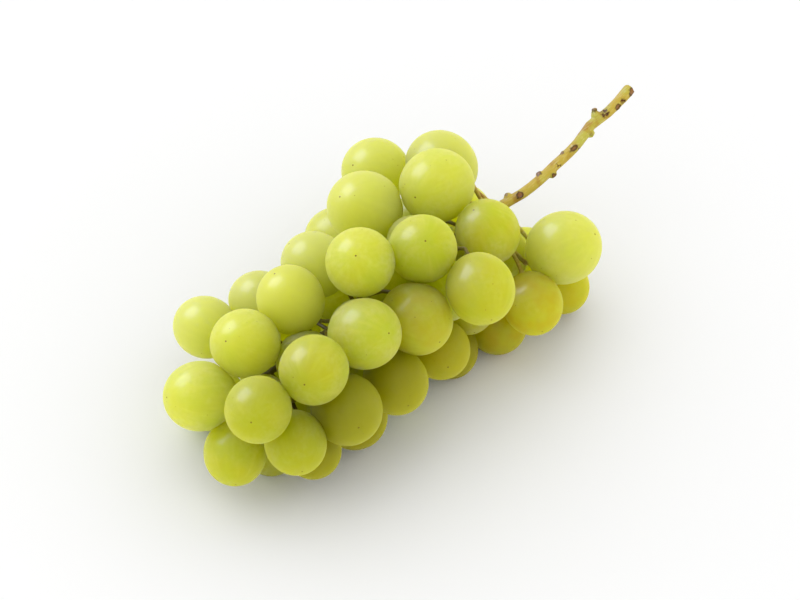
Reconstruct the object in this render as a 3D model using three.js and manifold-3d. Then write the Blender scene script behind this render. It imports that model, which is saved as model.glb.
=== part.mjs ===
// A bunch of green grapes, lying on its side on the plane z = 0.
// Every berry is a body of its own. The stem that carries them is one grown piece: a cut main stem with the
// scars of trimmed side shoots, branches that spread from it inside the bunch, and a stalk to each berry.
// Millimetres, +Z up. The bunch lies along X, and its cut stem points to +X.

import * as THREE from "three";
import { mergeVertices } from "three/addons/utils/BufferGeometryUtils.js";
import Module from "manifold-3d";

const wasm = await Module();
wasm.setup();

// The berry, which is 22 mm across on average
const BERRY_STRETCH = 1.08; // its length from stalk to tip, over its width
const BERRY_DETAIL = 2; // each face of an icosahedron is split into (2 + 1) squared
const GAP = 0.3; // left between any two bodies that touch
const PRESS = 0.7; // how far neighbouring berries are pressed into each other, and so flattened
const FLOOR_PRESS = 0.5; // how far a berry that carries the bunch is flattened where it rests

// The bunch
const BUNCH_HEIGHT = 64;
const BUNCH_WIDTH = 78;
const BUNCH_LENGTH = 164;
const MIDDLE_HEIGHT = BUNCH_HEIGHT / 2;
const SPIRAL_BERRIES = 50; // so many berries are set before the pockets between them are filled
const MOST_BERRIES = 59;
const ORIGIN_TO_MIDDLE = new THREE.Vector3(0, 0, MIDDLE_HEIGHT);

// The direction from which the seen side was measured: from the front, looking down on the bunch.
const VIEW_TURN = THREE.MathUtils.degToRad(44); // between the bunch and the viewer's left-to-right line
const VIEW_DROP = THREE.MathUtils.degToRad(45); // below the horizon
const ACROSS = new THREE.Vector3(Math.cos(VIEW_TURN), -Math.sin(VIEW_TURN), 0);
const NEARER = new THREE.Vector3(
  -Math.sin(VIEW_TURN) * Math.cos(VIEW_DROP),
  -Math.cos(VIEW_TURN) * Math.cos(VIEW_DROP),
  Math.sin(VIEW_DROP),
);
const UPWARD = new THREE.Vector3().crossVectors(NEARER, ACROSS);

// The point at `height` that the viewer sees `across` to the right of the bunch's middle and `up` from it.
function seenPoint(across, up, height) {
  const point = ORIGIN_TO_MIDDLE.clone();
  point.addScaledVector(ACROSS, across).addScaledVector(UPWARD, up);
  return point.addScaledVector(NEARER, (height - point.z) / NEARER.z);
}

// The berries on the seen side: across, up, height of the middle above the plane, and width. Where a berry's
// tip shows, two more numbers say how far it is to the right of the middle and above it, over the half width.
const SEEN_BERRIES = [
  // the top of the bunch, beside the cut stem
  [21.3, 45.4, 44, 22.6],
  [19.8, 39, 54, 23.9, -0.54, -0.3],
  [0.3, 43.8, 44, 21.5, -0.64, 0.16],
  [-3.2, 31.7, 50, 23.8, -0.63, 0.28],
  [36.1, 24, 49, 20.7, -0.41, 0.64],
  [60.5, 19, 38, 23.5, 0.83, 0.24],
  [27.8, 30.4, 32, 19],
  [40.9, 16.2, 30, 19.4],
  [48.3, 15, 11, 19],
  // the ridge, which is highest
  [-4.5, 14.4, 55, 22.4, -0.17, 0.17],
  [15, 18.3, 50, 22.2],
  [-26.9, 2.2, 52, 21.6, -0.44, 0.72],
  [-41.3, -11.5, 50, 22.2, -0.5, 0.05],
  // behind the ridge
  [-12.2, 22.2, 36, 20],
  [-19.2, 13.4, 42, 21],
  [-36.8, 1.9, 37, 19.5],
  [-54.1, -6.4, 36, 20],
  [-11.8, 5.4, 30, 20],
  // the middle of the near side
  [33.6, 5.9, 46, 22.2, 0.3, -0.84],
  [13.1, -3.7, 42, 22.9, 0.58, -0.61],
  [-3.2, -8.5, 50, 23, 0.63, 0.02],
  [-19.3, -20, 52, 22.4, -0.25, -0.39],
  [-37, -32.6, 50, 21.6, -0.19, -0.35],
  [-55.4, -28.5, 36, 22.6, -0.9, -0.02],
  [22.4, 5.4, 26, 20],
  [28.8, 0.6, 22, 19],
  // the low edge of the near side
  [50.4, 1.2, 26, 19.6, 0.3, -0.86],
  [59.6, 7.2, 14, 18],
  [39, -4.8, 12, 20],
  [20.8, -13.4, 24, 19.4, 0.25, -0.56],
  [6.5, -23.6, 24, 21],
  [-9.6, -32.8, 33, 23],
  [-25.1, -42.9, 35, 20, 0.23, -0.85],
  [-44.6, -46, 27, 20.2],
  [-20.2, -44.8, 18, 18.8],
  [-33, -44.8, 11, 18.6],
  [24, -12.8, 12, 18.4],
  [-6.8, -34, 14, 21.6],
];

// A repeatable random draw between low and high.
const DRAW_FACTOR = 16807;
const DRAW_LIMIT = 2147483647;
let drawn = 7;
function draw(low, high) {
  drawn = (drawn * DRAW_FACTOR) % DRAW_LIMIT;
  return low + ((high - low) * drawn) / DRAW_LIMIT;
}

// The main stem's middle line, from the far tip of the bunch to the cut end: across, up and height. The neck
// is where it leaves the bunch.
const NECK = [41.3, 32.9, 37];
const MAIN_STEM = [
  [-45, -28, 27],
  [-30, -18.5, 30],
  [-11, -5, 32],
  [8, 8, 33],
  [26, 22, 35],
  NECK,
  [46.7, 36, 38],
  [53.4, 41.2, 39.2],
  [57.5, 45.2, 40],
  [62, 49.3, 41],
  [66.1, 53.8, 42],
  [69.6, 58.7, 43],
  [74.1, 61.9, 44],
  [78.1, 65.9, 45],
  [81.9, 70.2, 46],
];
const mainLine = new THREE.CatmullRomCurve3(
  MAIN_STEM.map(([across, up, height]) => seenPoint(across, up, height)),
  false,
  "centripetal",
);

// A berry is an ellipsoid of revolution about its own axis, which runs from its stalk to its tip.
function makeBerry(middle, width, seen, tip) {
  return {
    middle,
    width,
    half: (width / 2) * BERRY_STRETCH,
    seen,
    tip,
    target: middle.clone(),
    axis: new THREE.Vector3(0, 0, 1),
  };
}

// The direction of a tip that shows so far to the right and so far up.
function tipDirection(right, up) {
  return new THREE.Vector3()
    .addScaledVector(ACROSS, right)
    .addScaledVector(UPWARD, up)
    .addScaledVector(NEARER, Math.sqrt(1 - right * right - up * up));
}

// How far a berry's surface is from its middle in a direction.
function reach(berry, direction) {
  const along = direction.dot(berry.axis);
  const aside = 1 - along * along;
  return 1 / Math.sqrt((along / berry.half) ** 2 + aside / (berry.width / 2) ** 2);
}

const STEM_STEPS = 90;
const stemPoints = mainLine.getSpacedPoints(STEM_STEPS);
const neckX = seenPoint(...NECK).x;
const insidePoints = stemPoints.filter((point) => point.x < neckX);
function nearestPoint(points, wanted) {
  return points.reduce((best, point) =>
    point.distanceTo(wanted) < best.distanceTo(wanted) ? point : best,
  );
}

// The point of the main stem that a berry hangs from: a little nearer to the cut end than the berry itself.
const HANG_BACK = 9;
function rootOf(middle) {
  return nearestPoint(insidePoints, middle.clone().setX(middle.x + HANG_BACK));
}

// Whether the seen berries hide a berry from the viewer, out to a share of its half width.
const RIM_POINTS = 12;
const RIM_SHARE = 0.74; // lets a thin edge show
const POCKET_RIM_SHARE = 0.95;
function covered(berries, middle, width, rimShare) {
  const near = middle.dot(NEARER);
  const nearer = berries.filter((berry) => berry.seen && berry.middle.dot(NEARER) > near);
  return Array.from({ length: RIM_POINTS }).every((_, n) => {
    const turn = (n / RIM_POINTS) * 2 * Math.PI;
    const rim = middle.clone();
    rim.addScaledVector(ACROSS, Math.cos(turn) * (width / 2) * rimShare);
    rim.addScaledVector(UPWARD, Math.sin(turn) * (width / 2) * rimShare);
    return nearer.some((berry) => {
      const aside = rim.clone().sub(berry.middle).projectOnPlane(NEARER);
      return aside.length() < berry.width / 2;
    });
  });
}

// The hidden side: berries are set on turns of a spiral round the main stem, wherever there is still room.
const SPIRAL_TURN = THREE.MathUtils.degToRad(137.5);
const SPIRAL_STEP = 0.7549; // share of the bunch's length from one try to the next
const SPIRAL_TRIES = 4000;
const ROOM = 0.86; // how close two berries may start, over the sum of their half widths
const HIDDEN_WIDTHS = [20, 22.5];
const LAYERS = [1, 1, 0.45]; // share of the bunch's half width at which the tries are set, in turn
const END_TAPER = 0.7; // how much the bunch narrows towards both ends
function addHiddenBerries(berries) {
  for (let n = 0; n < SPIRAL_TRIES && berries.length < SPIRAL_BERRIES; n++) {
    const share = ((n * SPIRAL_STEP) % 1) * 2 - 1; // from one end of the bunch to the other
    const layer = LAYERS[n % LAYERS.length];
    const width = draw(...HIDDEN_WIDTHS);
    const taper = Math.sqrt(1 - END_TAPER * Math.abs(share) ** 3);
    const turn = n * SPIRAL_TURN;
    const middle = new THREE.Vector3(
      share * (BUNCH_LENGTH / 2 - width / 2),
      Math.cos(turn) * (BUNCH_WIDTH / 2 - width / 2) * taper * layer,
      MIDDLE_HEIGHT + Math.sin(turn) * (MIDDLE_HEIGHT - width / 2) * layer,
    );
    const clear = berries.every(
      (other) => other.middle.distanceTo(middle) > (ROOM * (other.width + width)) / 2,
    );
    if (clear && covered(berries, middle, width, RIM_SHARE)) {
      berries.push(makeBerry(middle, width, false));
    }
  }
}

// The berries push each other apart until they only press, clear of the stem, the stalks and the plane.
const ROUNDS = 600;
const MOVE_SHARE = 0.6; // of what a berry is pushed, each round
const STEM_ROOM = 2.4; // kept free round the main stem's middle line
const STALK_ROOM = 1.3; // kept free round the first millimetres of each stalk
const STALK_START = [2, 4.5];
const STALK_BEND = 0.5; // how far a stalk gives way to a berry beside it
const INWARD_PULL = 0.02; // towards the main stem, each round
const WEIGHT_PULL = 0.03; // down, each round
const SEEN_HOLD = 0.35; // share of the way back to the measured place in the viewer's plane
const HIDDEN_HOLD = 0.15;
const SEEN_TIP_HOLD = 0.3; // share of the turn towards the measured direction of the tip
const HIDDEN_TIP_HOLD = 0.05;
const DOWN = new THREE.Vector3(0, 0, -1);
const FAR = 30; // berries whose middles are further apart don't meet

function pushApart(berries, moves) {
  const offset = new THREE.Vector3();
  berries.forEach((a, i) => {
    for (let j = i + 1; j < berries.length; j++) {
      const b = berries[j];
      const distance = offset.subVectors(b.middle, a.middle).length();
      if (distance > FAR) continue;
      offset.divideScalar(distance);
      const short = reach(a, offset) + reach(b, offset) + GAP - PRESS - distance;
      if (short > 0) {
        moves[i].addScaledVector(offset, -short / 2);
        moves[j].addScaledVector(offset, short / 2);
      }
    }
  });
}

function clearStalks(berries, moves) {
  const offset = new THREE.Vector3();
  berries.forEach((a, i) => {
    STALK_START.forEach((out) => {
      const stalk = a.middle.clone().addScaledVector(a.axis, -a.half - out);
      berries.forEach((b, j) => {
        if (j === i) return;
        const distance = offset.subVectors(b.middle, stalk).length();
        const short = b.width / 2 + STALK_ROOM - distance;
        if (short <= 0) return;
        offset.divideScalar(distance);
        moves[j].addScaledVector(offset, short / 2);
        a.axis.addScaledVector(offset, (short * STALK_BEND) / (a.half + out)).normalize();
      });
    });
  });
}

function clearStem(berries, moves) {
  const offset = new THREE.Vector3();
  berries.forEach((berry, i) => {
    stemPoints.forEach((point) => {
      const distance = offset.subVectors(berry.middle, point).length();
      const short = berry.width / 2 + STEM_ROOM - distance;
      if (short > 0) moves[i].addScaledVector(offset, short / 2 / distance);
    });
  });
}

function settle(berries) {
  for (let round = 0; round < ROUNDS; round++) {
    const moves = berries.map(() => new THREE.Vector3());
    pushApart(berries, moves);
    clearStalks(berries, moves);
    clearStem(berries, moves);
    berries.forEach((berry, i) => {
      const outward = berry.middle.clone().sub(rootOf(berry.middle)).normalize();
      berry.axis.lerp(berry.tip ?? outward, berry.tip ? SEEN_TIP_HOLD : HIDDEN_TIP_HOLD).normalize();
      berry.middle.addScaledVector(moves[i], MOVE_SHARE);
      // held in the viewer's plane, free along the line of sight
      const away = berry.target.clone().sub(berry.middle).projectOnPlane(NEARER);
      berry.middle.addScaledVector(away, berry.seen ? SEEN_HOLD : HIDDEN_HOLD);
      berry.middle.addScaledVector(outward, -INWARD_PULL);
      berry.middle.z = Math.max(berry.middle.z - WEIGHT_PULL, reach(berry, DOWN) - FLOOR_PRESS);
    });
  }
}

// Smaller berries grow in the pockets that are left round the main stem, the largest pocket first.
const POCKET_STEP = 1.5;
const POCKET_HALVES = [6.7, 10]; // the least and the most room that a pocket has to each side
const POCKET_REACH = 26; // a pocket further from the main stem than this is outside the bunch
const POCKET_PRESS = 0.4; // a berry in a pocket starts this much wider than the pocket, to each side
function pocketHalf(berries, point) {
  const [least, most] = POCKET_HALVES;
  const fromStem = nearestPoint(insidePoints, point).distanceTo(point);
  if (fromStem > POCKET_REACH) return 0;
  let half = Math.min(most, fromStem - STEM_ROOM, point.z);
  const offset = new THREE.Vector3();
  for (const berry of berries) {
    if (half < least) return 0;
    const distance = offset.subVectors(point, berry.middle).length();
    half = Math.min(half, distance - reach(berry, offset.divideScalar(distance)));
  }
  return half < least || !covered(berries, point, 2 * half, POCKET_RIM_SHARE) ? 0 : half;
}

function largestPocket(berries) {
  const box = new THREE.Box3().setFromPoints(berries.map((berry) => berry.middle));
  let best = { half: 0 };
  for (let x = box.min.x; x < box.max.x; x += POCKET_STEP) {
    for (let y = box.min.y; y < box.max.y; y += POCKET_STEP) {
      for (let z = box.min.z; z < box.max.z; z += POCKET_STEP) {
        const middle = new THREE.Vector3(x, y, z);
        const half = pocketHalf(berries, middle);
        if (half > best.half) best = { half, middle };
      }
    }
  }
  return best;
}

function fillPockets(berries) {
  while (berries.length < MOST_BERRIES) {
    const { half, middle } = largestPocket(berries);
    if (half === 0) return;
    berries.push(makeBerry(middle, 2 * (half + POCKET_PRESS), false));
    pointOutward(berries.at(-1));
  }
}

// A berry whose tip doesn't show points away from where it hangs.
function pointOutward(berry) {
  berry.axis.copy(berry.tip ?? berry.middle.clone().sub(rootOf(berry.middle)).normalize());
}

const berries = SEEN_BERRIES.map(([across, up, height, width, ...tip]) => {
  const direction = tip.length ? tipDirection(...tip) : undefined;
  return makeBerry(seenPoint(across, up, height), width, true, direction);
});
addHiddenBerries(berries);
berries.forEach(pointOutward);
settle(berries);
fillPockets(berries);
settle(berries);

// A berry's shape about its own middle, flattened where its neighbours press on it.
const PRESS_REACH = 2; // a neighbour further off than this doesn't press
const PRESS_PASSES = 3;
function berryGeometry(berry) {
  const shape = new THREE.IcosahedronGeometry(1, BERRY_DETAIL);
  shape.deleteAttribute("normal");
  shape.deleteAttribute("uv");
  const geometry = mergeVertices(shape);
  geometry.scale(berry.width / 2, berry.width / 2, berry.half);
  geometry.applyQuaternion(
    new THREE.Quaternion().setFromUnitVectors(new THREE.Vector3(0, 0, 1), berry.axis),
  );
  const presses = berries
    .filter((other) => other !== berry)
    .map((other) => {
      const normal = other.middle.clone().sub(berry.middle);
      const distance = normal.length();
      normal.divideScalar(distance);
      const slack = distance - reach(berry, normal) - reach(other, normal);
      return { normal, limit: reach(berry, normal) + slack / 2 - GAP / 2, slack };
    })
    .filter((press) => press.slack < PRESS_REACH);
  const point = new THREE.Vector3();
  const position = geometry.getAttribute("position");
  for (let pass = 0; pass < PRESS_PASSES; pass++) {
    for (let i = 0; i < position.count; i++) {
      point.fromBufferAttribute(position, i);
      presses.forEach(({ normal, limit }) => {
        const over = point.dot(normal) - limit;
        if (over > 0) point.addScaledVector(normal, -over);
      });
      position.setXYZ(i, point.x, point.y, point.z);
    }
  }
  return geometry;
}

// The stem: main stem, branches and stalks
const STEM_RADIUS = 1.7;
const STEM_TIP_RADIUS = 0.9; // at the far tip of the bunch
const STALK_RADIUS = 0.75; // a stalk that carries one berry
const THICKEST_BRANCH = 1.36;
const BRANCH_GROWTH = 0.3; // a branch's radius grows with this power of the number of berries that it carries
const FLARE_RADIUS = 1.5; // where a stalk meets its berry
const FLARE_LENGTH = 1.5;
const FLARE_RINGS = [-FLARE_LENGTH, -0.45, FLARE_LENGTH]; // from the berry's end along its axis
const FLARE_CLEAR = 1.8; // no other ring of the stalk is nearer to its end than this
const STALK_OUT = 3; // a stalk leaves its berry straight for this length
const MAIN_SIDES = 9;
const BRANCH_SIDES = 6;
const STALK_SIDES = 5;
const RING_SPACING = 4.5;

// The room between the berries, on a grid: how far each of its points is from the nearest berry's surface.
const GRID_STEP = 1.4;
const GRID_MARGIN = 8;
const OPEN = 4; // a point that is further from every berry counts as this far
const LEAST_DISTANCE = 0.001;
function measureRoom() {
  const box = new THREE.Box3().setFromPoints(berries.map((berry) => berry.middle));
  box.expandByScalar(GRID_MARGIN);
  const counts = box.getSize(new THREE.Vector3()).divideScalar(GRID_STEP).ceil().addScalar(1);
  const room = new Float32Array(counts.x * counts.y * counts.z).fill(OPEN);
  const indexOf = (cell) => (cell.z * counts.y + cell.y) * counts.x + cell.x;
  const lastCell = counts.clone().subScalar(1);
  const cellOf = (point) => {
    const steps = point.clone().sub(box.min).divideScalar(GRID_STEP).round();
    return steps.clamp(new THREE.Vector3(), lastCell);
  };
  const pointOf = (index) => {
    const x = index % counts.x;
    const y = Math.floor(index / counts.x) % counts.y;
    const z = Math.floor(index / counts.x / counts.y);
    return new THREE.Vector3(x, y, z).multiplyScalar(GRID_STEP).add(box.min);
  };
  const cell = new THREE.Vector3();
  const offset = new THREE.Vector3();
  berries.forEach((berry) => {
    const margin = new THREE.Vector3().setScalar(berry.half + OPEN);
    const low = cellOf(berry.middle.clone().sub(margin));
    const high = cellOf(berry.middle.clone().add(margin));
    for (let z = low.z; z <= high.z; z++) {
      for (let y = low.y; y <= high.y; y++) {
        for (let x = low.x; x <= high.x; x++) {
          const index = indexOf(cell.set(x, y, z));
          offset.copy(cell).multiplyScalar(GRID_STEP).add(box.min).sub(berry.middle);
          const distance = Math.max(offset.length(), LEAST_DISTANCE);
          const free = distance - reach(berry, offset.divideScalar(distance));
          room[index] = Math.min(room[index], free);
        }
      }
    }
  });
  return { counts, room, indexOf, cellOf, pointOf };
}

// The shortest ways from everywhere in the room to the main stem, which keep off the berries' skins.
const WANTED_ROOM = 2.2;
const TIGHT_COST = 4;
function findWays(grid, sources) {
  const { counts, room } = grid;
  const within = (at, count) => at >= 0 && at < count;
  const cost = new Float64Array(room.length).fill(Infinity);
  const next = new Int32Array(room.length).fill(-1);
  const heap = [];
  const push = (entry) => {
    let at = heap.push(entry) - 1;
    while (at > 0) {
      const up = (at - 1) >> 1;
      if (heap[up][0] <= entry[0]) break;
      heap[at] = heap[up];
      at = up;
    }
    heap[at] = entry;
  };
  const pop = () => {
    const top = heap[0];
    const last = heap.pop();
    if (heap.length === 0) return top;
    let at = 0;
    for (;;) {
      let down = 2 * at + 1;
      if (down >= heap.length) break;
      if (down + 1 < heap.length && heap[down + 1][0] < heap[down][0]) down++;
      if (heap[down][0] >= last[0]) break;
      heap[at] = heap[down];
      at = down;
    }
    heap[at] = last;
    return top;
  };
  sources.forEach((index) => {
    cost[index] = 0;
    push([0, index]);
  });
  while (heap.length > 0) {
    const [spent, index] = pop();
    if (spent > cost[index]) continue;
    const x = index % counts.x;
    const y = Math.floor(index / counts.x) % counts.y;
    const z = Math.floor(index / counts.x / counts.y);
    for (let dz = -1; dz <= 1; dz++) {
      for (let dy = -1; dy <= 1; dy++) {
        for (let dx = -1; dx <= 1; dx++) {
          if (!within(x + dx, counts.x) || !within(y + dy, counts.y) || !within(z + dz, counts.z)) {
            continue;
          }
          const other = index + dx + dy * counts.x + dz * counts.x * counts.y;
          const tight = Math.max(0, WANTED_ROOM - room[other]);
          const total = spent + Math.hypot(dx, dy, dz) * (1 + TIGHT_COST * tight * tight);
          if (total < cost[other]) {
            cost[other] = total;
            next[other] = index;
            push([total, other]);
          }
        }
      }
    }
  }
  return next;
}

// The stem's tree: each berry's stalk follows its way until it meets another stalk or the main stem.
function growTree() {
  const grid = measureRoom();
  const next = findWays(
    grid,
    insidePoints.map((point) => grid.indexOf(grid.cellOf(point))),
  );
  const nodes = new Map();
  berries.forEach((berry, n) => {
    const end = { point: berry.middle.clone().addScaledVector(berry.axis, -berry.half), berry };
    const out = { point: end.point.clone().addScaledVector(berry.axis, -STALK_OUT), held: true };
    end.parent = out;
    nodes.set("end" + n, end);
    nodes.set("out" + n, out);
    let child = out;
    let index = grid.indexOf(grid.cellOf(out.point));
    while (index >= 0) {
      const known = nodes.has(index);
      if (!known) nodes.set(index, { point: grid.pointOf(index) });
      child.parent = nodes.get(index);
      if (known) break;
      child = nodes.get(index);
      index = next[index];
    }
  });
  const tree = [...nodes.values()];
  tree.forEach((node) => {
    node.children = [];
    node.load = 0;
  });
  tree.forEach((node) => node.parent?.children.push(node));
  tree
    .filter((node) => node.berry)
    .forEach((end) => {
      for (let node = end; node; node = node.parent) node.load++;
    });
  tree
    .filter((node) => !node.parent)
    .forEach((root) => {
      root.point = nearestPoint(stemPoints, root.point);
    });
  return tree;
}

function branchRadius(load) {
  return Math.min(STALK_RADIUS * load ** BRANCH_GROWTH, THICKEST_BRANCH);
}

// The tree's bends are eased, and its parts are kept clear of the berries.
const EASE_ROUNDS = 60;
const EASE_SHARE = 0.5; // of the way to the mean of the parts around, each round
const CLEAR_SHARE = 0.7; // of the way out of a berry's room, each round
const SKIN_ROOM = 0.35;
function easeTree(tree) {
  const offset = new THREE.Vector3();
  for (let round = 0; round < EASE_ROUNDS; round++) {
    tree.forEach((node) => {
      if (node.berry || !node.parent) return;
      const around = [node.parent, ...node.children];
      if (!node.held) {
        const mean = new THREE.Vector3();
        around.forEach((other) => mean.addScaledVector(other.point, 1 / around.length));
        node.point.lerp(mean, EASE_SHARE);
      }
      berries.forEach((berry) => {
        const distance = offset.subVectors(node.point, berry.middle).length();
        if (distance > berry.half + OPEN) return;
        offset.divideScalar(distance);
        const short = reach(berry, offset) + branchRadius(node.load) + SKIN_ROOM - distance;
        if (short > 0) node.point.addScaledVector(offset, short * CLEAR_SHARE);
      });
    });
  }
}

// A closed tube round a line of points, with a radius at each.
function tubeGeometry(points, radii, sides) {
  const positions = [];
  const faces = [];
  const normal = new THREE.Vector3();
  points.forEach((point, i) => {
    const tangent = new THREE.Vector3()
      .subVectors(points[Math.min(i + 1, points.length - 1)], points[Math.max(i - 1, 0)])
      .normalize();
    if (i === 0) normal.set(0, 0, 1).cross(tangent);
    normal.addScaledVector(tangent, -normal.dot(tangent)).normalize();
    const binormal = new THREE.Vector3().crossVectors(tangent, normal);
    for (let side = 0; side < sides; side++) {
      const turn = (side / sides) * 2 * Math.PI;
      const rim = point
        .clone()
        .addScaledVector(normal, Math.cos(turn) * radii[i])
        .addScaledVector(binormal, Math.sin(turn) * radii[i]);
      positions.push(rim.x, rim.y, rim.z);
    }
  });
  const start = points.length * sides;
  [points[0], points[points.length - 1]].forEach((point) => positions.push(point.x, point.y, point.z));
  for (let side = 0; side < sides; side++) {
    const other = (side + 1) % sides;
    for (let ring = 0; ring + 1 < points.length; ring++) {
      const a = ring * sides + side;
      const b = ring * sides + other;
      faces.push(a, b, b + sides, a, b + sides, a + sides);
    }
    const final = (points.length - 1) * sides;
    faces.push(start, other, side, start + 1, final + side, final + other);
  }
  const geometry = new THREE.BufferGeometry();
  geometry.setAttribute("position", new THREE.Float32BufferAttribute(positions, 3));
  geometry.setIndex(faces);
  return geometry;
}

// A solid for joining and cutting, from a closed geometry, and the geometry of such a solid.
function toSolid(geometry, matrix = new THREE.Matrix4()) {
  const bare = new THREE.BufferGeometry();
  bare.setAttribute("position", geometry.getAttribute("position").clone());
  bare.setIndex(geometry.getIndex());
  const placed = mergeVertices(bare.applyMatrix4(matrix));
  return new wasm.Manifold(
    new wasm.Mesh({
      numProp: 3,
      vertProperties: Float32Array.from(placed.getAttribute("position").array),
      triVerts: Uint32Array.from(placed.getIndex().array),
    }),
  );
}
function toGeometry(solid) {
  const mesh = solid.getMesh();
  const geometry = new THREE.BufferGeometry();
  geometry.setAttribute("position", new THREE.Float32BufferAttribute(mesh.vertProperties, 3));
  geometry.setIndex([...mesh.triVerts]);
  return geometry;
}

// One tube for each length of the tree between two forks, and a flared end where it meets a berry.
function branchSolids(tree) {
  const solids = [];
  tree
    .filter((node) => !node.parent || node.children.length > 1)
    .forEach((fork) => {
      fork.children.forEach((child) => {
        const line = [fork.point, child.point];
        let end = child;
        while (end.children.length === 1) {
          end = end.children[0];
          line.push(end.point);
        }
        const radius = branchRadius(end.load);
        const curve = new THREE.CatmullRomCurve3(line, false, "centripetal");
        const rings = Math.max(2, Math.round(curve.getLength() / RING_SPACING));
        const points = curve.getSpacedPoints(rings);
        const radii = points.map(() => radius);
        if (end.berry) {
          // the last rings are along the berry's own axis, and the very last is inside it, to be scooped away
          while (points.length > 2 && points.at(-1).distanceTo(end.point) < FLARE_CLEAR) {
            points.pop();
            radii.pop();
          }
          FLARE_RINGS.forEach((along) =>
            points.push(end.point.clone().addScaledVector(end.berry.axis, along)),
          );
          radii.push(radius, FLARE_RADIUS, FLARE_RADIUS);
        }
        const sides = end.load > 1 ? BRANCH_SIDES : STALK_SIDES;
        solids.push(toSolid(tubeGeometry(points, radii, sides)));
      });
    });
  return solids;
}

// What is left of the side shoots that were trimmed from the cut stem: where each one ends as the viewer sees
// it (across and up), how much nearer to the viewer than the stem's middle line that is, and its radii at the
// stem and at its end.
const STUBS = [
  [70.2, 63.2, 0.6, 1.7, 0.8],
  [78.4, 64.2, 0.8, 1.5, 1.1],
  [70.3, 55.3, 0, 1.6, 0.9],
  [64.3, 51.3, 1.9, 1.5, 0.9],
  [59.8, 49.8, 0, 1.3, 0.5],
  [52.3, 43.3, 0, 1.4, 0.9],
  [57.7, 41.9, 0.4, 1.7, 1],
  [42.5, 36.6, 0, 1.5, 0.8],
  [46.2, 35.8, 1.9, 1.5, 1.1],
];
const STUB_TAPER_START = 0.6; // a stub keeps its radius over this share of its length
function stubSolids() {
  return STUBS.map(([across, up, nearer, thick, thin]) => {
    const tip = ORIGIN_TO_MIDDLE.clone().addScaledVector(ACROSS, across).addScaledVector(UPWARD, up);
    const aside = (point) => point.clone().sub(tip).projectOnPlane(NEARER).length();
    const base = stemPoints.reduce((best, point) => (aside(point) < aside(best) ? point : best));
    tip.addScaledVector(NEARER, base.clone().sub(tip).dot(NEARER) + nearer);
    const taper = base.clone().lerp(tip, STUB_TAPER_START);
    return toSolid(tubeGeometry([base, taper, tip], [thick, thick, thin], BRANCH_SIDES));
  });
}

// The stem is one piece, scooped out where it would come closer to a berry than the gap.
const MAIN_RINGS = 46;
const THIN_SHARE = 0.55; // the main stem is thinner over this share of its length, at the far tip
const CUT_END_SHARE = 0.9; // the cut end's radius over the stem's
const SCOOP_MARGIN = 1.15; // a scoop goes this much deeper than the gap
const STEM_TOLERANCE = 0.13;
function stemGeometry(tree) {
  const points = mainLine.getSpacedPoints(MAIN_RINGS);
  const radii = points.map((_, i) =>
    THREE.MathUtils.lerp(STEM_TIP_RADIUS, STEM_RADIUS, Math.min(1, i / MAIN_RINGS / THIN_SHARE)),
  );
  radii[MAIN_RINGS] = STEM_RADIUS * CUT_END_SHARE;
  const main = toSolid(tubeGeometry(points, radii, MAIN_SIDES));
  const grown = wasm.Manifold.union([main, ...stubSolids(), ...branchSolids(tree)]);
  const scoops = berries.map((berry) => {
    const larger = 1 + (GAP * SCOOP_MARGIN) / (berry.width / 2);
    const place = new THREE.Matrix4().makeTranslation(berry.middle);
    place.scale(new THREE.Vector3().setScalar(larger));
    return toSolid(berryGeometry(berry), place);
  });
  const scooped = grown.subtract(wasm.Manifold.union(scoops));
  const parts = scooped.simplify(STEM_TOLERANCE).decompose();
  return toGeometry(parts.reduce((best, part) => (part.volume() > best.volume() ? part : best)));
}

// The berries that reach the plane get a flat there.
const GROUND_SIZE = 400;
const GROUND_DEPTH = 20;
const ground = toSolid(
  new THREE.BoxGeometry(GROUND_SIZE, GROUND_SIZE, GROUND_DEPTH),
  new THREE.Matrix4().makeTranslation(0, 0, -GROUND_DEPTH / 2),
);
function groundedBerry(berry) {
  const place = new THREE.Matrix4().makeTranslation(berry.middle);
  const back = new THREE.Matrix4().makeTranslation(berry.middle.clone().negate());
  return toGeometry(toSolid(berryGeometry(berry), place).subtract(ground)).applyMatrix4(back);
}

const bunch = new THREE.Group();
berries.forEach((berry, i) => {
  const material = new THREE.MeshStandardMaterial({ color: 0xc5c83d, roughness: 0.35, metalness: 0 });
  const mesh = new THREE.Mesh(groundedBerry(berry), material);
  mesh.name = "berry_" + String(i + 1).padStart(2, "0");
  mesh.position.copy(berry.middle);
  bunch.add(mesh);
});

const tree = growTree();
easeTree(tree);
const stemMaterial = new THREE.MeshStandardMaterial({ color: 0xb9a53c, roughness: 0.6, metalness: 0 });
const stem = new THREE.Mesh(stemGeometry(tree), stemMaterial);
stem.name = "stem";
bunch.add(stem);

// The origin is under the middle of the bunch's bounding box.
const bounds = new THREE.Box3().setFromObject(bunch, true);
const middle = bounds.getCenter(new THREE.Vector3()).setZ(bounds.min.z);
bunch.children.forEach((mesh) => mesh.position.sub(middle));

export default bunch;
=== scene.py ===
"""A bunch of green grapes lying on its side: a cut stem with its branches and stalks, and 58 berries.

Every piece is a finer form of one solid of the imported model, and stays where that solid is.
Metres, +Z up, in the model's own frame. The bunch lies along X, and its cut stem points to +X.
"""

import math
import random

import bpy
import numpy as np
from mathutils import Matrix, Vector, noise


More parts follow.
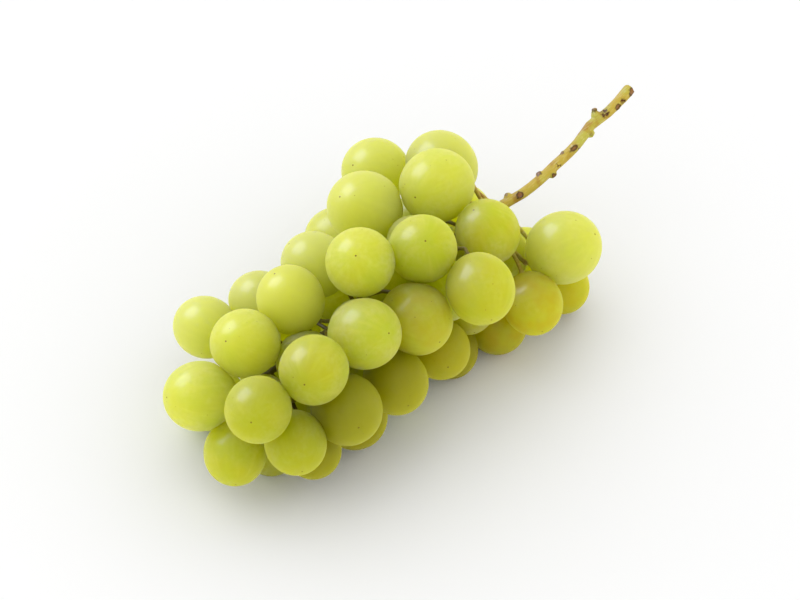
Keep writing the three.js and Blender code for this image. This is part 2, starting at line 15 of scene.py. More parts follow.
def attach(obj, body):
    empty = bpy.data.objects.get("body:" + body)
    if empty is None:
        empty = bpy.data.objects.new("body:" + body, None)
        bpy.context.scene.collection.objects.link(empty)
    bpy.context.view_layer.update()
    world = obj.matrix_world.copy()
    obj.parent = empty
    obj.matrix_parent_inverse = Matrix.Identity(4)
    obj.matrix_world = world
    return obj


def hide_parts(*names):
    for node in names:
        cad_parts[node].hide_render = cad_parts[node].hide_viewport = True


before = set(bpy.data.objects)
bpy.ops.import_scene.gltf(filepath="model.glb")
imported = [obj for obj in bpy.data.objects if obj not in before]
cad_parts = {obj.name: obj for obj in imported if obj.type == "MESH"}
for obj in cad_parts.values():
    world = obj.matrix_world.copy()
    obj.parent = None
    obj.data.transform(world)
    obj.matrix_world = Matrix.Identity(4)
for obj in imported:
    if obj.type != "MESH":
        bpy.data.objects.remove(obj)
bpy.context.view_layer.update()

MM = 0.001


# The camera
# It looks down on the lying bunch from the front left, as the photograph does, through a long lens, so that
# the berries keep their proportions over the whole picture.
VIEW_TURN = math.radians(44)  # between the bunch's length and the camera's left-to-right line
VIEW_DROP = math.radians(45)  # below the horizon
LENS_MM = 1200
SENSOR_MM = 36
PICTURE_WIDTH = 256 * MM  # what the picture spans at the aim
AIM = Vector((-11.88, -9.68, 33.58)) * MM

ACROSS = Vector((math.cos(VIEW_TURN), -math.sin(VIEW_TURN), 0))
NEARER = Vector(
    (
        -math.sin(VIEW_TURN) * math.cos(VIEW_DROP),
        -math.cos(VIEW_TURN) * math.cos(VIEW_DROP),
        math.sin(VIEW_DROP),
    )
)
UPWARD = NEARER.cross(ACROSS)


def put_in_scene(name, data):
    """A new object with the mesh, light or camera that it is given, shown in the scene."""
    thing = bpy.data.objects.new(name, data)
    bpy.context.scene.collection.objects.link(thing)
    return thing


def place_camera():
    camera = put_in_scene("camera", bpy.data.cameras.new("camera"))
    camera.data.lens = LENS_MM
    camera.data.sensor_width = SENSOR_MM
    distance = PICTURE_WIDTH * LENS_MM / SENSOR_MM
    turn = Matrix((ACROSS, UPWARD, NEARER)).transposed().to_4x4()
    camera.matrix_world = Matrix.Translation(AIM + NEARER * distance) @ turn
    bpy.context.scene.camera = camera


place_camera()


# The floor and the studio light
# A plain white table top without an edge in view. One large soft box hangs above the bunch on the left.
# Another one behind it only shines in the gloss of the skins. The rest is even light from all round.
FLOOR_HALF = 4  # metres, as the soft boxes' sizes and distance
FLOOR_FINISH = {"Base Color": (0.95, 0.95, 0.95, 1), "Roughness": 0.9, "Specular IOR Level": 0.1}
ROOM_COLOUR = (1, 1, 1, 1)
ROOM_LIGHT = 0.99
LIGHT_DISTANCE = 2
KEY_FROM = -0.35 * ACROSS + 0.55 * UPWARD + 0.75 * NEARER
KEY_SIZE = (1.8, 1.8)
KEY_WATTS = 4
GLOSS_FROM = -0.65 * ACROSS + 0.73 * UPWARD + 0.2 * NEARER
GLOSS_SIZE = (1.4, 1.4)
GLOSS_WATTS = 185
GLOSS_COLOUR = (0.72, 0.74, 1)  # cool daylight


def new_material(name):
    """A material with its tree of nodes and its shader."""
    material = bpy.data.materials.new(name)
    material.use_nodes = True
    return material, material.node_tree, material.node_tree.nodes["Principled BSDF"]


def set_finish(shader, finish):
    """Sets what is the same all over a surface."""
    for socket, value in finish.items():
        shader.inputs[socket].default_value = value


def lay_floor():
    corners = [(-FLOOR_HALF, -FLOOR_HALF, 0), (FLOOR_HALF, -FLOOR_HALF, 0)]
    corners += [(FLOOR_HALF, FLOOR_HALF, 0), (-FLOOR_HALF, FLOOR_HALF, 0)]
    mesh = bpy.data.meshes.new("table_top")
    mesh.from_pydata(corners, [], [(0, 1, 2, 3)])
    floor = put_in_scene("table_top", mesh)
    material, _, shader = new_material("white table top")
    set_finish(shader, FLOOR_FINISH)
    mesh.materials.append(material)


def hang_soft_box(name, direction, size, watts):
    """A soft box that faces the bunch from a direction and stands upright in the picture."""
    light = bpy.data.lights.new(name, "AREA")
    light.shape = "RECTANGLE"
    light.size, light.size_y = size
    light.energy = watts
    box = put_in_scene(name, light)
    facing = direction.normalized()
    level = UPWARD.cross(facing).normalized()
    turn = Matrix((level, facing.cross(level), facing)).transposed().to_4x4()
    box.matrix_world = Matrix.Translation(AIM + facing * LIGHT_DISTANCE) @ turn
    box.visible_camera = False
    return box


def light_room():
    world = bpy.data.worlds.new("even light")
    world.use_nodes = True
    background = world.node_tree.nodes["Background"]
    background.inputs["Color"].default_value = ROOM_COLOUR
    background.inputs["Strength"].default_value = ROOM_LIGHT
    bpy.context.scene.world = world
    bpy.context.scene.view_settings.view_transform = "Standard"


lay_floor()
light_room()
key_box = hang_soft_box("key_box", KEY_FROM, KEY_SIZE, KEY_WATTS)
key_box.visible_glossy = False
gloss_box = hang_soft_box("gloss_box", GLOSS_FROM, GLOSS_SIZE, GLOSS_WATTS)
gloss_box.data.color = GLOSS_COLOUR
gloss_box.visible_diffuse = False
gloss_box.visible_transmission = False


# The berries
# Each grape is one closed, slightly oval skin over clear flesh. It hangs by its stalk end and has a dry dot
# at the other end, where the flower was. It is a little flat where its neighbours or the table press on it.
FIT_ROUNDS = 40
ON_SKIN = 1e-3  # a corner this near to the oval counts fully towards its fit
NEAREST_CORNERS = 3  # of the stem, for the distance from a berry's end to its stalk
RINGS = 44  # from the stalk end to the tip
SEGMENTS = 48
POLE_CROWDING = 0.7  # how much closer together the rings are at the two ends
LUMPS = 0.007  # the skin's uneven swelling, over the half width
LUMP_FINENESS = 0.8  # a higher value makes smaller lumps
EGG = 0.012  # how much fuller the tip half is than the stalk half
NEIGHBOUR_REACH = 4  # a berry whose middle is further off than so many half widths isn't a neighbour
TOUCH_GAP = 0.12 * MM  # left between two berries that press on each other
PRESS_REACH = 1.5 * MM  # a neighbour further off than this doesn't press
PRESS_SOFTNESS = 0.2 * MM  # how round the edge of a pressed place is
FLOOR_SOFTNESS = 0.1 * MM  # the same, for the place that lies on the table
STALK_DIMPLE = 0.3 * MM
STALK_DIMPLE_WIDTH = 2.4 * MM
TIP_DIMPLE = 0.14 * MM
TIP_DIMPLE_WIDTH = 1.2 * MM
TIP_NUB = 0.12 * MM  # the dry dot stands up this much in its dimple
TIP_NUB_WIDTH = 0.28 * MM
OTHER_HALF = 99.0  # mm, stored for a corner's distance from the end that isn't in its half of the berry


def corner_points(node):
    """The corners of a CAD solid's mesh, each one once."""
    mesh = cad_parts[node].data
    points = np.empty(len(mesh.vertices) * 3)
    mesh.vertices.foreach_get("co", points)
    return np.unique(points.reshape(-1, 3).round(7), axis=0)


def measure_berry(node, stem_corners):
    """The true oval under a partly flattened solid: its middle, half sizes and axis towards the tip."""
    points = corner_points(node)
    centre = points.mean(0)
    scale = np.ptp(points, axis=0).max() / 2
    x, y, z = ((points - centre) / scale).T
    terms = np.stack([x * x, y * y, z * z, 2 * x * y, 2 * x * z, 2 * y * z, 2 * x, 2 * y, 2 * z], 1)
    weight = np.ones(len(points))
    for _ in range(FIT_ROUNDS):
        answer = np.linalg.lstsq(terms * weight[:, None], weight, rcond=None)[0]
        weight = 1 / np.sqrt(np.abs(terms @ answer - 1) + ON_SKIN)
    xx, yy, zz, xy, xz, yz = answer[:6]
    form = np.array([[xx, xy, xz], [xy, yy, yz], [xz, yz, zz]])
    offset = -np.linalg.solve(form, answer[6:])
    form /= 1 + offset @ form @ offset
    values, directions = np.linalg.eigh(form)
    half_sizes = scale / np.sqrt(values)
    middle = centre + offset * scale
    axis = directions[:, 0]

    def stalk_distance(way):
        pole = middle - way * half_sizes[0]
        return np.sort(np.linalg.norm(stem_corners - pole, axis=1))[:NEAREST_CORNERS].mean()

    if stalk_distance(-axis) < stalk_distance(axis):
        axis = -axis
    wide = half_sizes[1:].mean()
    return {"name": node, "middle": middle, "long": half_sizes[0], "wide": wide, "axis": axis}


def reach(berry, direction):
    """How far a berry's skin is from its middle in a direction."""
    along = direction @ berry["axis"]
    return 1 / np.sqrt(along**2 / berry["long"] ** 2 + (1 - along**2) / berry["wide"] ** 2)


def soften(over, softness):
    """Zero below zero and `over` above it, with a round bend between."""
    return softness * np.logaddexp(0, over / softness)


def pressed(berry, points):
    """The berry's points, moved in where its neighbours and the table press on it."""
    for other in berries:
        towards = other["middle"] - berry["middle"]
        distance = np.linalg.norm(towards)
        if other is berry or distance > NEIGHBOUR_REACH * berry["wide"]:
            continue
        towards = towards / distance
        slack = distance - reach(berry, towards) - reach(other, towards)
        if slack < PRESS_REACH:
            limit = reach(berry, towards) + slack / 2 - TOUCH_GAP / 2
            points = points - np.outer(soften(points @ towards - limit, PRESS_SOFTNESS), towards)
    height = points[:, 2] + berry["middle"][2]
    points[:, 2] += soften(height, FLOOR_SOFTNESS) - height
    return points


def skin_faces():
    """The faces between neighbouring rings of corners, and a fan of triangles at each end."""
    pairs = [(a, (a + 1) % SEGMENTS) for a in range(SEGMENTS)]
    last = (RINGS - 1) * SEGMENTS + 1
    faces = [(0, 1 + b, 1 + a) for a, b in pairs]
    for start in range(1, last - SEGMENTS, SEGMENTS):
        faces += [(start + a, start + b, start + b + SEGMENTS, start + a + SEGMENTS) for a, b in pairs]
    start = last - SEGMENTS
    faces += [(start + a, start + b, last) for a, b in pairs]
    return faces


def keep(mesh, name, values):
    """Stores a number or a place for each corner of a mesh, for its material to read."""
    values = np.asarray(values, np.float32)
    kind, field = ("FLOAT", "value") if values.ndim == 1 else ("FLOAT_VECTOR", "vector")
    mesh.attributes.new(name, kind, "POINT").data.foreach_set(field, values.ravel())


def grow_berry(number, berry):
    """One berry's mesh: rings round its axis from the stalk end to the tip."""
    axis = berry["axis"]
    side = np.cross(axis, (0, 0, 1))
    side /= np.linalg.norm(side)
    other_side = np.cross(axis, side)
    share = np.arange(1, RINGS) / RINGS
    down = math.pi * (share - POLE_CROWDING * np.sin(2 * math.pi * share) / (2 * math.pi))
    turn = 2 * math.pi * np.arange(SEGMENTS) / SEGMENTS
    down, turn = (grid.ravel() for grid in np.meshgrid(down, turn, indexing="ij"))
    down = np.concatenate([[0], down, [math.pi]])
    turn = np.concatenate([[0], turn, [0]])
    round_part = np.outer(np.cos(turn), side) + np.outer(np.sin(turn), other_side)
    swelling = 1 - EGG * np.cos(down)
    out = berry["wide"] * np.sin(down) * swelling
    points = round_part * out[:, None] - np.outer(berry["long"] * np.cos(down), axis)
    place = points / berry["wide"] * LUMP_FINENESS + number
    points *= 1 + LUMPS * np.array([noise.noise(Vector(spot)) for spot in place])[:, None]
    stalk_half = down < math.pi / 2
    stalk_dip = STALK_DIMPLE * np.exp(-((out / STALK_DIMPLE_WIDTH) ** 2))
    tip_dip = TIP_DIMPLE * np.exp(-((out / TIP_DIMPLE_WIDTH) ** 2))
    tip_rise = TIP_NUB * np.exp(-((out / TIP_NUB_WIDTH) ** 4))
    along_axis = np.where(stalk_half, stalk_dip, tip_rise - tip_dip)
    points = pressed(berry, points + np.outer(along_axis, axis)) + berry["middle"]

    mesh = bpy.data.meshes.new(berry["name"] + "_skin")
    mesh.from_pydata(points.tolist(), [], skin_faces())
    mesh.shade_smooth()
    keep(mesh, "from_stalk", np.where(stalk_half, out / MM, OTHER_HALF))
    keep(mesh, "from_tip", np.where(stalk_half, OTHER_HALF, out / MM))
    # The light, pale and deep shares are painted light, a painted glow and painted shade. Amber is the
    # skin's own colour.
    for tone in ("light", "pale", "deep", "amber"):
        share = SKIN_TONES_AND_PAINTED_LIGHT.get(berry["name"], {}).get(tone, 0) + draws.uniform(0, TONE_SPREAD)
        keep(mesh, tone, np.full(len(points), share))
    streaks = np.stack([np.cos(turn), np.sin(turn), down * STREAK_STRETCH + number], 1)
    keep(mesh, "streaks", streaks)
    return mesh


# Grape skin: lime green over clear flesh that light passes through. A few riper berries are amber. Over
# that the skin carries painted light and shade. Some upper berries have a painted pale glow that stands in
# for backlight, and some berries have a painted lighter colour that stands in for light where they sit in
# shade between their neighbours. The low berries on the near side have painted shade, a deeper olive.
# Under a soft gloss it has a thin broken veil of pale wax, small brown specks, faint streaks from end to
# end and a dry brown dot at the tip.
SKIN_TONES_AND_PAINTED_LIGHT = {  # how much of each tone a berry has that shows from the camera, before chance adds a little. Light is painted light, pale is a painted glow, deep is painted shade and amber is the skin's own colour
    "berry_01": {"pale": 0.8, "deep": 0.12},
    "berry_02": {"pale": 0.15, "light": 0.3},
    "berry_03": {"pale": 0.7, "deep": 0.1},
    "berry_04": {"pale": 0.5, "light": 0.42},
    "berry_05": {"deep": 0.06, "amber": 0.2},
    "berry_06": {"pale": 0.55, "amber": 0.05},
    "berry_07": {"pale": 0.4, "light": 0.4},
    "berry_10": {"light": 0.15},
    "berry_11": {"deep": 0.33},
    "berry_12": {"pale": 0.3, "light": 0.98},
    "berry_13": {"pale": 0.05, "light": 0.35},
    "berry_14": {"pale": 0.7, "deep": 0.15},
    "berry_15": {"pale": 0.85, "light": 0.4},
    "berry_16": {"pale": 0.85, "deep": 0.06},
    "berry_17": {"pale": 0.7, "deep": 0.06},
    "berry_19": {"deep": 0.46, "amber": 0.1},
    "berry_20": {"amber": 0.45},
    "berry_21": {"deep": 0.14},
    "berry_22": {"deep": 0.38},
    "berry_23": {"deep": 0.6},
    "berry_24": {"pale": 0.25, "deep": 0.04},
    "berry_26": {"amber": 0.4},
    "berry_27": {"deep": 0.1, "amber": 0.7},
    "berry_28": {"deep": 0.6, "amber": 0.5},
    "berry_29": {"deep": 0.2, "amber": 0.7},
    "berry_30": {"deep": 0.8, "amber": 0.3},
    "berry_31": {"deep": 0.9, "amber": 0.05},
    "berry_32": {"deep": 0.82},
    "berry_33": {"deep": 0.6},
    "berry_34": {"deep": 0.4},
    "berry_35": {"deep": 0.95},
    "berry_36": {"deep": 0.5},
    "berry_37": {"deep": 0.9, "amber": 0.2},
    "berry_38": {"deep": 0.98, "amber": 0.1},
}
TONE_SPREAD = 0.08  # the most that chance adds to a tone
GREEN_SKIN = (0.39, 0.5, 0.022, 1)
YELLOW_SKIN = (0.49, 0.51, 0.035, 1)
# Painted light: a lighter skin for berries that sit in shade between their neighbours.
PAINTED_LIGHT_SKIN = (0.75, 0.8, 0.06, 1)
# Painted glow: a pale, whitish skin that stands in for backlight on the upper berries.
PAINTED_GLOW_SKIN = (0.47, 0.51, 0.17, 1)
# Painted shade: a deep olive, mostly on the low berries on the near side, which lie in the bunch's shade.
PAINTED_SHADE_SKIN = (0.18, 0.168, 0.001, 1)
AMBER_SKIN = (0.38, 0.275, 0.002, 1)
STREAK_SKIN = (0.68, 0.7, 0.1, 1)
WAX = (0.72, 0.74, 0.3, 1)
SPECK = (0.16, 0.1, 0.01, 1)
DRY_DOT = (0.13, 0.09, 0.01, 1)
# Plain sizes in a material are in millimetres. A range says at which value of the noise a tone starts to
# show and at which it is full, and a cover says how much a full tone hides of what lies under it.
MOTTLE_SIZE = 14
MOTTLE_RANGE = (0.3, 0.7)
STREAK_STRETCH = 0.22  # the streaks' scale from end to end, over their scale round the berry
STREAK_FINENESS = 4
STREAK_RANGE = (0.4, 0.75)
STREAK_COVER = 0.32
STREAK_FADE = (1, 8)  # from the tip, where there are none
WAX_PATCH_SIZE = 9
WAX_PATCH_RANGE = (0.3, 0.75)
WAX_GRAIN_SIZE = 1.6
WAX_GRAIN_RANGE = (0.1, 0.9)
WAX_COVER = 0.5
AMBER_PATCH_SIZE = 7
AMBER_PATCH_RANGE = (0.3, 0.7)
AMBER_PATCH_COVER = (0.7, 1.25)
SPECK_SPACING = 2.6
SPECK_RADIUS = 0.22
SPECK_SHARE = 0.25  # of the places that could have a speck
SPECK_COVER = 0.7
SPOT_EDGE = (0.5, 1.3)  # a spot fades between these parts of its radius
DOT_RADIUS = 0.32
STALK_MARK_RADIUS = 1.9
STALK_MARK_COVER = 0.8
MARK_EDGE = (0.7, 1.2)  # the same for the dry dot and the stalk's mark
SKIN_ROUGHNESS = (0.68, 0.78)  # bare, and where the wax is thick
THICK_WAX = 0.8  # of the most wax that the two noises give together
DOT_ROUGHNESS = 0.8
PEEL_SIZE = 0.9
PEEL_STRENGTH = 0.12
PEEL_HEIGHT = 0.05 * MM
FLESH_DEPTH = 9 * MM  # how far light travels in the flesh
FLESH_COLOURS = (1, 1, 0.04)
RADIUS_OVER_DEPTH = 4 * math.pi  # the shader's radius for a given true depth
SKIN_FINISH = {
    "Subsurface Weight": 1,
    "Subsurface Radius": FLESH_COLOURS,
    "Subsurface Scale": FLESH_DEPTH * RADIUS_OVER_DEPTH,
    "Subsurface Anisotropy": 0.6,
    "IOR": 1.4,
    "Specular IOR Level": 0.25,
    "Coat Weight": 0.15,
    "Coat Roughness": 0.24,
    "Coat IOR": 1.45,
}


def add(tree, kind, sockets=None, **settings):
    """Adds one node to a material. A socket is given a plain value or another node's output."""
    node = tree.nodes.new("ShaderNode" + kind)
    for name, value in settings.items():
        setattr(node, name, value)
    for name, value in (sockets or {}).items():
        if isinstance(value, bpy.types.NodeSocket):
            tree.links.new(value, node.inputs[name])
        else:
            node.inputs[name].default_value = value
    return node


def stored(tree, name, output="Fac"):
    return add(tree, "Attribute", attribute_name=name).outputs[output]


def ramp(tree, value, low, high, start=0, end=1):
    """A number that goes smoothly from start to end while value goes from low to high."""
    sockets = {"Value": value, "From Min": low, "From Max": high, "To Min": start, "To Max": end}
    return add(tree, "MapRange", sockets, interpolation_type="SMOOTHSTEP").outputs["Result"]


def calculate(tree, operation, first, second=0.0):
    return add(tree, "Math", {0: first, 1: second}, operation=operation).outputs[0]


def blend_colours(tree, share, first, second):
    sockets = {"Factor": share, 6: first, 7: second}
    return add(tree, "Mix", sockets, data_type="RGBA").outputs[2]


def grain(tree, place, size_mm, detail=2.0):
    """Soft noise whose lumps are about so many millimetres across."""
    sockets = {"Vector": place, "Scale": 1000 / size_mm, "Detail": detail}
    return add(tree, "TexNoise", sockets).outputs["Fac"]


def spots(tree, place, spacing_mm, radius_mm, share):
    """Small scattered round spots: 1 inside a spot and 0 outside."""
    cells = add(tree, "TexVoronoi", {"Vector": place, "Scale": 1000 / spacing_mm})
    chance = add(tree, "SeparateColor", {"Color": cells.outputs["Color"]})
    radius = radius_mm / spacing_mm
    inner, outer = SPOT_EDGE
    near = ramp(tree, cells.outputs["Distance"], radius * inner, radius * outer, 1, 0)
    chosen = calculate(tree, "LESS_THAN", chance.outputs[0], share)
    return calculate(tree, "MULTIPLY", near, chosen)


def round_mark(tree, distance, radius_mm):
    """A round mark with a soft edge, by the stored distance from its middle: 1 inside it and 0 outside."""
    inner, outer = MARK_EDGE
    return ramp(tree, stored(tree, distance), radius_mm * inner, radius_mm * outer, 1, 0)


def grape_skin():
    material, tree, shader = new_material("grape skin")
    place = add(tree, "TexCoord").outputs["Object"]
    mottle = ramp(tree, grain(tree, place, MOTTLE_SIZE), *MOTTLE_RANGE)
    colour = blend_colours(tree, mottle, GREEN_SKIN, YELLOW_SKIN)
    streak = add(tree, "TexNoise", {"Vector": stored(tree, "streaks", "Vector"), "Scale": STREAK_FINENESS})
    streaked = calculate(
        tree,
        "MULTIPLY",
        ramp(tree, streak.outputs["Fac"], *STREAK_RANGE, 0, STREAK_COVER),
        ramp(tree, stored(tree, "from_tip"), *STREAK_FADE),
    )
    colour = blend_colours(tree, streaked, colour, STREAK_SKIN)
    wax = calculate(
        tree,
        "MULTIPLY",
        ramp(tree, grain(tree, place, WAX_PATCH_SIZE), *WAX_PATCH_RANGE),
        ramp(tree, grain(tree, place, WAX_GRAIN_SIZE), *WAX_GRAIN_RANGE),
    )
    colour = blend_colours(tree, calculate(tree, "MULTIPLY", wax, WAX_COVER), colour, WAX)
    # Painted light on berries that sit in shade.
    colour = blend_colours(tree, stored(tree, "light"), colour, PAINTED_LIGHT_SKIN)
    # Painted pale glow of backlight.
    colour = blend_colours(tree, stored(tree, "pale"), colour, PAINTED_GLOW_SKIN)
    # Painted shade, mostly on the low berries on the near side.
    colour = blend_colours(tree, stored(tree, "deep"), colour, PAINTED_SHADE_SKIN)
    amber_patches = grain(tree, place, AMBER_PATCH_SIZE)
    patchy = ramp(tree, amber_patches, *AMBER_PATCH_RANGE, *AMBER_PATCH_COVER)
    amber = calculate(tree, "MULTIPLY", stored(tree, "amber"), patchy)
    colour = blend_colours(tree, amber, colour, AMBER_SKIN)
    speck = spots(tree, place, SPECK_SPACING, SPECK_RADIUS, SPECK_SHARE)
    colour = blend_colours(tree, calculate(tree, "MULTIPLY", speck, SPECK_COVER), colour, SPECK)
    dot = round_mark(tree, "from_tip", DOT_RADIUS)
    colour = blend_colours(tree, dot, colour, DRY_DOT)
    stalk_mark = round_mark(tree, "from_stalk", STALK_MARK_RADIUS)
    stalk_mark = calculate(tree, "MULTIPLY", stalk_mark, STALK_MARK_COVER)
    colour = blend_colours(tree, stalk_mark, colour, SPECK)
    tree.links.new(colour, shader.inputs["Base Color"])

    rough = ramp(tree, wax, 0, THICK_WAX, *SKIN_ROUGHNESS)
    rough = calculate(tree, "MAXIMUM", rough, calculate(tree, "MULTIPLY", dot, DOT_ROUGHNESS))
    tree.links.new(rough, shader.inputs["Roughness"])
    peel_noise = grain(tree, place, PEEL_SIZE)
    peel = add(tree, "Bump", {"Height": peel_noise, "Strength": PEEL_STRENGTH, "Distance": PEEL_HEIGHT})
    tree.links.new(peel.outputs["Normal"], shader.inputs["Normal"])
    shader.subsurface_method = "RANDOM_WALK"
    set_finish(shader, SKIN_FINISH)
    return material


stem_corners = corner_points("stem")
berry_names = sorted(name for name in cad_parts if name.startswith("berry"))
berries = [measure_berry(name, stem_corners) for name in berry_names]
draws = random.Random(5)  # the chance in the tones of the berries
skin = grape_skin()
for number, berry in enumerate(berries):
    grape = put_in_scene("grape_" + berry["name"][-2:], grow_berry(number, berry))
    grape.data.materials.append(skin)
    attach(grape, "root")
    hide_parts(berry["name"])


# The stem
# One grown piece of woody green stem: the cut main stem with the scars and stubs of trimmed shoots, and
# inside the bunch its branches, each ending in a small swollen stalk end that is grown on to its berry.
STEM_MESH_STEP = 0.28 * MM
ROUNDING = 0.5  # how far each round moves a corner towards the middle of those beside it
ROUNDING_ROUNDS = 5
SWELL = 0.05 * MM  # gives back what the rounding takes off
BARK_LUMPS = 0.09 * MM
BARK_LUMP_SIZE = 1.4 * MM
FIBRE_STRETCH = 0.12  # the grain's scale along the stem, over its scale across it
STALK_END_HEIGHT = 1.6 * MM  # the part of a stalk that is stretched to meet its berry
STALK_END_REACH = 2.4 * MM
STALK_END_SPARE = 1 * MM  # how far inside the dimple a corner may lie and still be stretched along
STALK_END_STRETCH = 0.4 * MM
NECK_X = 27 * MM  # the bunch ends here and the bare stem starts
NECK_LENGTH = 20 * MM  # over which the green branches turn into bare bark


def even_mesh(node):
    """A CAD solid's form as one fine, even, rounded mesh."""
    piece = put_in_scene("even_" + node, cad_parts[node].data.copy())
    remesh = piece.modifiers.new("even", "REMESH")
    remesh.mode = "VOXEL"
    remesh.voxel_size = STEM_MESH_STEP
    rounding = piece.modifiers.new("round", "SMOOTH")
    rounding.factor = ROUNDING
    rounding.iterations = ROUNDING_ROUNDS
    bpy.context.view_layer.update()
    shown = piece.evaluated_get(bpy.context.evaluated_depsgraph_get())
    mesh = bpy.data.meshes.new_from_object(shown)
    bpy.data.objects.remove(piece)
    mesh.materials.clear()
    return mesh


def read_all(items, field):
    """One place or direction for each of a mesh's corners."""
    values = np.empty(len(items) * 3)
    items.foreach_get(field, values)
    return values.reshape(-1, 3)


def meet_berries(points):
    """Stretches the swollen end of each stalk until it stands in the dimple of its berry."""
    for berry in berries:
        pole = berry["middle"] - berry["axis"] * berry["long"]
        offset = points - pole
        height = -offset @ berry["axis"]
        aside = np.linalg.norm(offset + np.outer(height, berry["axis"]), axis=1)
        low_enough = height > -STALK_DIMPLE - STALK_END_SPARE
        near = (aside < STALK_END_REACH) & low_enough & (height < STALK_END_HEIGHT)
        share = 1 - np.clip(height[near] / STALK_END_HEIGHT, 0, 1)
        points[near] += np.outer(share * (STALK_END_STRETCH + STALK_DIMPLE), berry["axis"])
    return points


# Marks on the bare stem, measured in the camera's plane from the aim, in millimetres: across and up, the
# radius along the stem and across it, how far the rim stands up and how deep the face is sunk. The last
# number says how dark the mark is.
MARKS = {
    "cut_end": (75.4, 67, 1.5, 1.2, 0.1, 0.15, 0.9),
    "notch": (72.1, 63.7, 0.7, 0.8, 0, 0.6, 0.4),
    "cut_shoot_right": (70.6, 61.8, 1, 1, 0.2, 0.3, 0.9),
    "horn_tip": (62.4, 61.9, 0.75, 0.75, 0, -0.6, 0.75),
    "node_spot_left": (65.5, 59.9, 0.35, 0.35, 0, 0.15, 0.9),
    "node_spot_middle": (65.9, 61.1, 0.4, 0.3, 0, 0.15, 0.9),
    "node_spot_right": (66.9, 59.5, 0.4, 0.35, 0, 0.15, 0.9),
    "bump_tip": (61.9, 53, 0.5, 0.5, 0, 0, 0.3),
    "long_scar": (56.2, 48.9, 1.35, 0.6, 0.2, 0.25, 0.85),
    "stub_left": (51.8, 47.7, 0.6, 0.6, 0, 0.1, 0.8),
    "pair_left": (44.2, 41.2, 0.75, 0.75, 0.1, 0.2, 0.8),
    "pair_right": (50, 39.8, 0.75, 0.75, 0.1, 0.2, 0.9),
    "low_bump": (34, 34.5, 0.5, 0.5, 0, 0.1, 0.6),
    "low_scar": (38.2, 33.5, 1.2, 0.9, 0.25, 0.3, 0.9),
}
SEEN_WITHIN = 0.5  # the corners this near to a mark in the picture are searched for its middle
SEEN_SPARE = 0.1  # and at least the corners that are this little further off than the nearest one
RIM_WIDTH = 0.25
MARK_UNEVENNESS = 0.35  # of a mark's outline, over its radius
MARK_UNEVENNESS_SIZE = 0.7
# Patches of cracked bark, measured in the same way: across, up and radius.
CRACKED = {
    "node": (66, 60.2, 2.1),
    "below_long_scar": (57.4, 47.6, 1.7),
    "top": (72, 64, 1.2),
    "side": (51, 43.4, 1.1),
}
END_X = 93 * MM  # from here to its cut end the stem grows thicker
END_LENGTH = 5 * MM
END_SWELLING = 0.35 * MM


def mark_stem(points, normals, stem_way):
    """Shapes the scars on the stem. Returns the points, and how much each is rim, face and cracked bark."""
    offset = (points - np.array(AIM)) / MM
    across, up, nearer = (offset @ np.array(way) for way in (ACROSS, UPWARD, NEARER))
    unevenness = np.array([noise.noise(Vector(spot / MARK_UNEVENNESS_SIZE)) for spot in offset])
    rim = np.zeros(len(points))
    face = np.zeros(len(points))
    height = np.zeros(len(points))
    for mark_across, mark_up, long_radius, wide_radius, rise, depth, dark in MARKS.values():
        apart = np.hypot(across - mark_across, up - mark_up)
        seen = np.flatnonzero(apart < max(SEEN_WITHIN, apart.min() + SEEN_SPARE))
        middle = offset[seen[nearer[seen].argmax()]]
        from_mark = offset - middle
        along = from_mark @ stem_way
        aside = np.sqrt(np.maximum((from_mark**2).sum(1) - along**2, 0))
        radii = np.hypot(along / long_radius, aside / wide_radius) * (1 + MARK_UNEVENNESS * unevenness)
        edge = RIM_WIDTH / wide_radius
        ring = np.exp(-(((radii - 1) / edge) ** 2))
        inside = np.clip((1 - radii) / edge + 0.5, 0, 1)
        rim = np.maximum(rim, ring * dark)
        face = np.maximum(face, inside * dark)
        height += ring * rise - inside * depth
    cracked = np.zeros(len(points))
    for patch_across, patch_up, radius in CRACKED.values():
        apart = np.hypot(across - patch_across, up - patch_up)
        cracked = np.maximum(cracked, np.clip(2 - 2 * apart / radius, 0, 1))
    return points + normals * height[:, None] * MM, rim, face, cracked


def grow_stem():
    mesh = even_mesh("stem")
    points = read_all(mesh.vertices, "co")
    normals = read_all(mesh.vertex_normals, "vector")
    bare_points = points[points[:, 0] > NECK_X]
    stem_way = np.linalg.svd(bare_points - bare_points.mean(0), full_matrices=False)[2][0]
    along = np.outer(points @ stem_way, stem_way)
    fibre_place = points - along * (1 - FIBRE_STRETCH)
    lumps = np.array([noise.noise(Vector(spot / BARK_LUMP_SIZE)) for spot in fibre_place])
    towards_end = np.clip((points[:, 0] - END_X) / END_LENGTH, 0, 1)
    swelling = SWELL + BARK_LUMPS * lumps + END_SWELLING * towards_end
    points, rim, face, cracked = mark_stem(points + normals * swelling[:, None], normals, stem_way)
    points = meet_berries(points)
    points[:, 2] = np.maximum(points[:, 2], 0)
    mesh.vertices.foreach_set("co", points.ravel())
    mesh.update()
    mesh.shade_smooth()
    keep(mesh, "fibre", fibre_place)
    keep(mesh, "rim", rim)
    keep(mesh, "face", face)
    keep(mesh, "cracked", cracked)
    keep(mesh, "bare", np.clip((points[:, 0] - NECK_X) / NECK_LENGTH + 0.5, 0, 1))
    return mesh


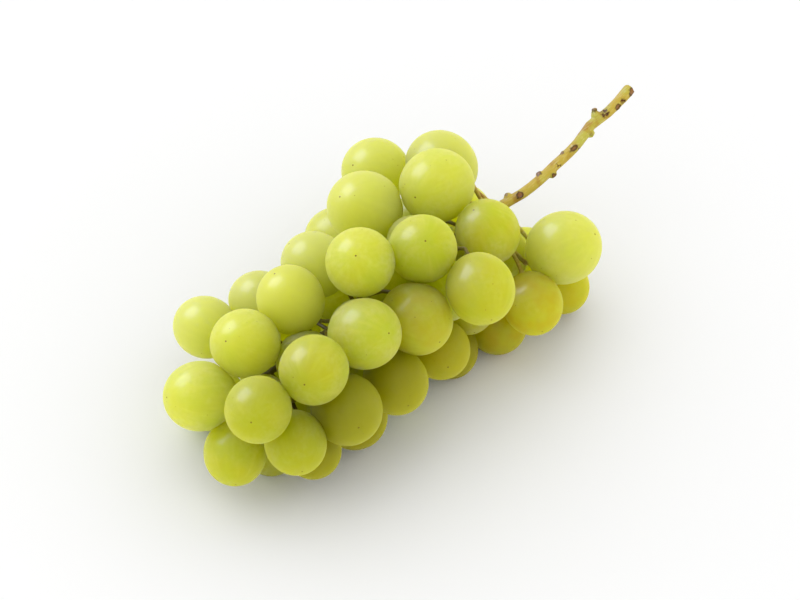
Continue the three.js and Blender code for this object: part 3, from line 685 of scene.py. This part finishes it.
# Stem skin: dull green inside the bunch and straw to ochre on the bare cut stem, with fine lengthwise
# fibres, small corky warts, and brown dried faces with darker rims where shoots were cut.
GREEN_STEM = (0.17, 0.135, 0.006, 1)
LIME_STEM = (0.52, 0.5, 0.06, 1)
STRAW_STEM = (0.56, 0.4, 0.035, 1)
OCHRE_STEM = (0.42, 0.22, 0.01, 1)
PALE_FIBRE = (0.72, 0.64, 0.24, 1)
WART = (0.12, 0.045, 0.012, 1)
SCAR_FACE = (0.3, 0.12, 0.04, 1)
SCAR_RIM = (0.05, 0.02, 0.008, 1)
STRAW_PATCH_SIZE = 11
STRAW_RANGE = (0.4, 0.6)
OCHRE_PATCH_SIZE = 4
OCHRE_RANGE = (0.45, 0.7)
BARK_DETAIL = 3.0  # how many finer grains lie over the main one
FIBRE_SIZE = 0.5
FIBRE_RANGE = (0.5, 0.75)
FIBRE_COVER = (0.1, 0.6)
CRACK_SIZE = 0.9
CRACK_RANGE = (0.5, 0.56)
WART_SPACING = 1.9
WART_RADIUS = 0.22
WART_SHARE = 0.3
WART_COVER = 0.8
SMOOTH_RANGE = (0.3, 0.7)  # the values of the fibres' noise over which the roughness changes
STEM_ROUGHNESS = (0.4, 0.6)
BARK_STRENGTH = 0.5
BARK_HEIGHT = 0.12 * MM
STEM_FINISH = {
    "Specular IOR Level": 0.15,
    "Subsurface Weight": 0.2,
    "Subsurface Radius": (1, 0.7, 0.2),
    "Subsurface Scale": 0.6 * MM,
}


def stem_skin():
    material, tree, shader = new_material("woody stem")
    place = add(tree, "TexCoord").outputs["Object"]
    bare = stored(tree, "bare")
    straw = ramp(tree, grain(tree, place, STRAW_PATCH_SIZE), *STRAW_RANGE)
    ochre = ramp(tree, grain(tree, place, OCHRE_PATCH_SIZE), *OCHRE_RANGE)
    dry = blend_colours(tree, straw, LIME_STEM, STRAW_STEM)
    dry = blend_colours(tree, ochre, dry, OCHRE_STEM)
    colour = blend_colours(tree, bare, GREEN_STEM, dry)
    fibres = grain(tree, stored(tree, "fibre", "Vector"), FIBRE_SIZE, BARK_DETAIL)
    pale = calculate(tree, "MULTIPLY", ramp(tree, fibres, *FIBRE_RANGE, *FIBRE_COVER), bare)
    colour = blend_colours(tree, pale, colour, PALE_FIBRE)
    warts = spots(tree, place, WART_SPACING, WART_RADIUS, WART_SHARE)
    cracks = ramp(tree, grain(tree, place, CRACK_SIZE, BARK_DETAIL), *CRACK_RANGE)
    cracks = calculate(tree, "MULTIPLY", cracks, stored(tree, "cracked"))
    brown = calculate(tree, "MAXIMUM", calculate(tree, "MULTIPLY", warts, WART_COVER), cracks)
    colour = blend_colours(tree, brown, colour, WART)
    colour = blend_colours(tree, stored(tree, "face"), colour, SCAR_FACE)
    colour = blend_colours(tree, stored(tree, "rim"), colour, SCAR_RIM)
    tree.links.new(colour, shader.inputs["Base Color"])
    tree.links.new(ramp(tree, fibres, *SMOOTH_RANGE, *STEM_ROUGHNESS), shader.inputs["Roughness"])
    height = calculate(tree, "SUBTRACT", fibres, brown)
    bump = add(tree, "Bump", {"Height": height, "Strength": BARK_STRENGTH, "Distance": BARK_HEIGHT})
    tree.links.new(bump.outputs["Normal"], shader.inputs["Normal"])
    set_finish(shader, STEM_FINISH)
    return material


stem = put_in_scene("grape_stem", grow_stem())
stem.data.materials.append(stem_skin())
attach(stem, "root")
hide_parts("stem")
